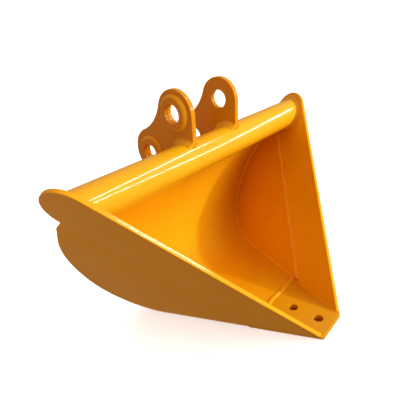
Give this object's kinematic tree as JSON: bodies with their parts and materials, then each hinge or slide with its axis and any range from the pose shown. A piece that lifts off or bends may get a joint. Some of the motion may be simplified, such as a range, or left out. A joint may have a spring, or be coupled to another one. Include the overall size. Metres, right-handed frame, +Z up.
{
  "type": "excavator bucket",
  "caption": "Narrow tapered ditching bucket: flat side bars and thin walls round a rolled wrapper, a torsion tube, twin hanger ears with two pin bores and a bolt-on tooth lip.",
  "frame": {"origin": "middle of the bounding box in plan, at the level of the underside of the lip plate", "axes": "+X across the bucket along the torsion tube, -Y towards the mouth, +Z up from the flat lip to the ears"},
  "size_m": [0.6496, 0.389, 0.441],
  "materials": {
    "shell": "glossy yellow-orange enamel on sheet and flat bar",
    "tube": "glossy yellow-orange enamel on steel pipe",
    "ears": "glossy yellow-orange enamel on flame-cut plate",
    "lip": "glossy yellow-orange enamel on a thick lip plate",
    "weld": "glossy yellow-orange enamel over rippled weld beads"
  },
  "bodies": {
    "root": {"boss_link_pin": "ears", "boss_stick_pin": "ears", "ear_left": "ears", "ear_right": "ears", "lip_plate": "lip", "side_bar_left": "shell", "side_bar_right": "shell", "side_wall_left": "shell", "side_wall_right": "shell", "torsion_tube": "tube", "weld_bar_lip_left": "weld", "weld_bar_lip_right": "weld", "weld_bar_wall_left": "weld", "weld_bar_wall_right": "weld", "weld_boss_link": "weld", "weld_boss_stick": "weld", "weld_ear_tube_left": "weld", "weld_ear_tube_right": "weld", "weld_ear_wrapper_left": "weld", "weld_ear_wrapper_right": "weld", "weld_lip_seam": "weld", "weld_lip_under": "weld", "weld_tube_end_left": "weld", "weld_tube_end_right": "weld", "weld_tube_wrapper": "weld", "weld_wall_wrapper_left": "weld", "weld_wall_wrapper_right": "weld", "wrapper_plate": "shell"}
  },
  "joints": []
}
